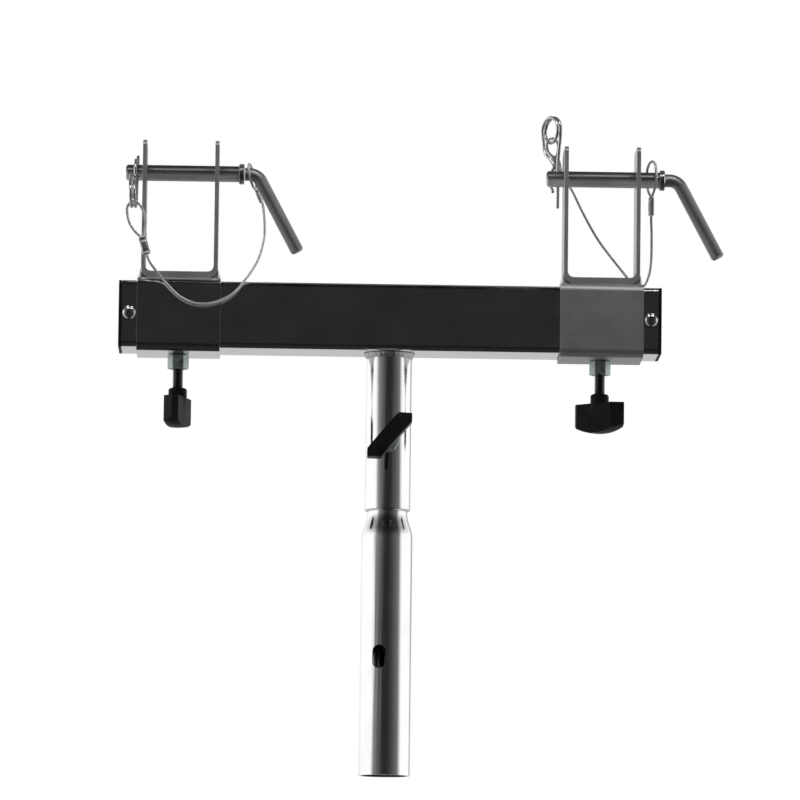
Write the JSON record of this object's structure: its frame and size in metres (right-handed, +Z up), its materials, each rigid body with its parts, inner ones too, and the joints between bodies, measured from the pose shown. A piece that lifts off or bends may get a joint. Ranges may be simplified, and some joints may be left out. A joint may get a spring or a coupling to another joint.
{
  "type": "truss support head",
  "caption": "Crossbar head for a lighting stand: sliding sleeves with U cradles, locking pins, spring clips and lanyards hold a truss, wing screws clamp sleeves and mast.",
  "frame": {"origin": "centre of the mast's lower end, where the stand's mast goes on below", "axes": "+Z up along the mast, X along the crossbar, -Y to the front, where the stem's wing screw is"},
  "size_m": [0.4513, 0.1065, 0.4972],
  "materials": {
    "plated_steel": "bright plated steel",
    "fastener_steel": "zinc plated steel",
    "weld_metal": "plated weld bead",
    "spring_wire": "zinc plated spring wire",
    "wire_rope": "stranded steel wire",
    "crimp_metal": "pressed aluminium",
    "black_plastic": "black moulded plastic, slight sheen"
  },
  "bodies": {
    "mast_body": {"mast": "plated_steel"},
    "head": {"crossbar": "plated_steel", "left_end_plug": "black_plastic", "right_end_plug": "black_plastic", "left_stop_screw": "fastener_steel", "right_stop_screw": "fastener_steel", "left_stop_nut": "fastener_steel", "right_stop_nut": "fastener_steel", "stem": "plated_steel", "stem_weld": "weld_metal", "stem_weld_nut": "fastener_steel"},
    "stem_screw": {"stem_clamp_screw": "fastener_steel"},
    "stem_knob": {"stem_wing_knob": "black_plastic"},
    "left_carriage": {"left_sleeve": "plated_steel", "left_cradle": "plated_steel", "left_cradle_weld_left": "weld_metal", "left_cradle_weld_right": "weld_metal", "left_weld_nut": "fastener_steel"},
    "left_screw": {"left_clamp_screw": "fastener_steel"},
    "left_knob": {"left_wing_knob": "black_plastic"},
    "left_locking_pin": {"left_pin": "plated_steel", "left_pin_collar": "plated_steel", "left_pin_handle": "plated_steel", "left_lanyard": "wire_rope", "left_lanyard_pin_eye": "wire_rope", "left_lanyard_pin_crimp": "crimp_metal"},
    "left_clip": {"left_pin_clip": "spring_wire", "left_lanyard_clip_eye": "wire_rope", "left_lanyard_clip_crimp": "crimp_metal"},
    "right_carriage": {"right_sleeve": "plated_steel", "right_cradle": "plated_steel", "right_cradle_weld_left": "weld_metal", "right_cradle_weld_right": "weld_metal", "right_weld_nut": "fastener_steel"},
    "right_screw": {"right_clamp_screw": "fastener_steel"},
    "right_knob": {"right_wing_knob": "black_plastic"},
    "right_locking_pin": {"right_pin": "plated_steel", "right_pin_collar": "plated_steel", "right_pin_handle": "plated_steel", "right_lanyard": "wire_rope", "right_lanyard_pin_eye": "wire_rope", "right_lanyard_pin_crimp": "crimp_metal"},
    "right_clip": {"right_pin_clip": "spring_wire", "right_lanyard_clip_eye": "wire_rope", "right_lanyard_clip_crimp": "crimp_metal"}
  },
  "joints": [
    {"name": "head_turn", "type": "hinge", "parent": "mast_body", "child": "head", "pos_m": [0, 0, 0], "axis": [0, 0, 1], "continuous": true},
    {"name": "stem_screw_travel", "type": "slide", "parent": "head", "child": "stem_screw", "axis": [0, -1, 0], "range_m": [0, 0.00375]},
    {"name": "stem_knob_turn", "type": "hinge", "parent": "stem_screw", "child": "stem_knob", "pos_m": [0, -0.04, 0.2475], "axis": [0, -1, 0], "range_deg": [0, 1080]},
    {"name": "left_carriage_slide", "type": "slide", "parent": "head", "child": "left_carriage", "axis": [1, 0, 0], "range_m": [0, 0.094]},
    {"name": "left_screw_travel", "type": "slide", "parent": "left_carriage", "child": "left_screw", "axis": [0, 0, -1], "range_m": [0, 0.00375]},
    {"name": "left_knob_turn", "type": "hinge", "parent": "left_screw", "child": "left_knob", "pos_m": [-0.1575, 0, 0.267], "axis": [0, 0, -1], "range_deg": [0, 1080]},
    {"name": "left_pin_slide", "type": "slide", "parent": "left_carriage", "child": "left_locking_pin", "axis": [1, 0, 0], "range_m": [-0.0142, 0.0026]},
    {"name": "left_clip_pull", "type": "slide", "parent": "left_locking_pin", "child": "left_clip", "axis": [0, -0.7431, -0.6691], "range_m": [0, 0.03], "deforming": ["left_pin_clip", "left_lanyard"]},
    {"name": "right_carriage_slide", "type": "slide", "parent": "head", "child": "right_carriage", "axis": [-1, 0, 0], "range_m": [0, 0.094]},
    {"name": "right_screw_travel", "type": "slide", "parent": "right_carriage", "child": "right_screw", "axis": [0, 0, -1], "range_m": [0, 0.00375]},
    {"name": "right_knob_turn", "type": "hinge", "parent": "right_screw", "child": "right_knob", "pos_m": [0.1575, 0, 0.267], "axis": [0, 0, -1], "range_deg": [0, 1080]},
    {"name": "right_pin_slide", "type": "slide", "parent": "right_carriage", "child": "right_locking_pin", "axis": [1, 0, 0], "range_m": [-0.0045, 0.0007]},
    {"name": "right_clip_pull", "type": "slide", "parent": "right_locking_pin", "child": "right_clip", "axis": [0, 0, 1], "range_m": [0, 0.03], "deforming": ["right_pin_clip", "right_lanyard"]}
  ],
  "couplings": [
    {"joint": "stem_knob_turn", "follows": "stem_screw_travel", "rad_per_m": 5026.5},
    {"joint": "left_knob_turn", "follows": "left_screw_travel", "rad_per_m": 5026.5},
    {"joint": "right_knob_turn", "follows": "right_screw_travel", "rad_per_m": 5026.5}
  ]
}
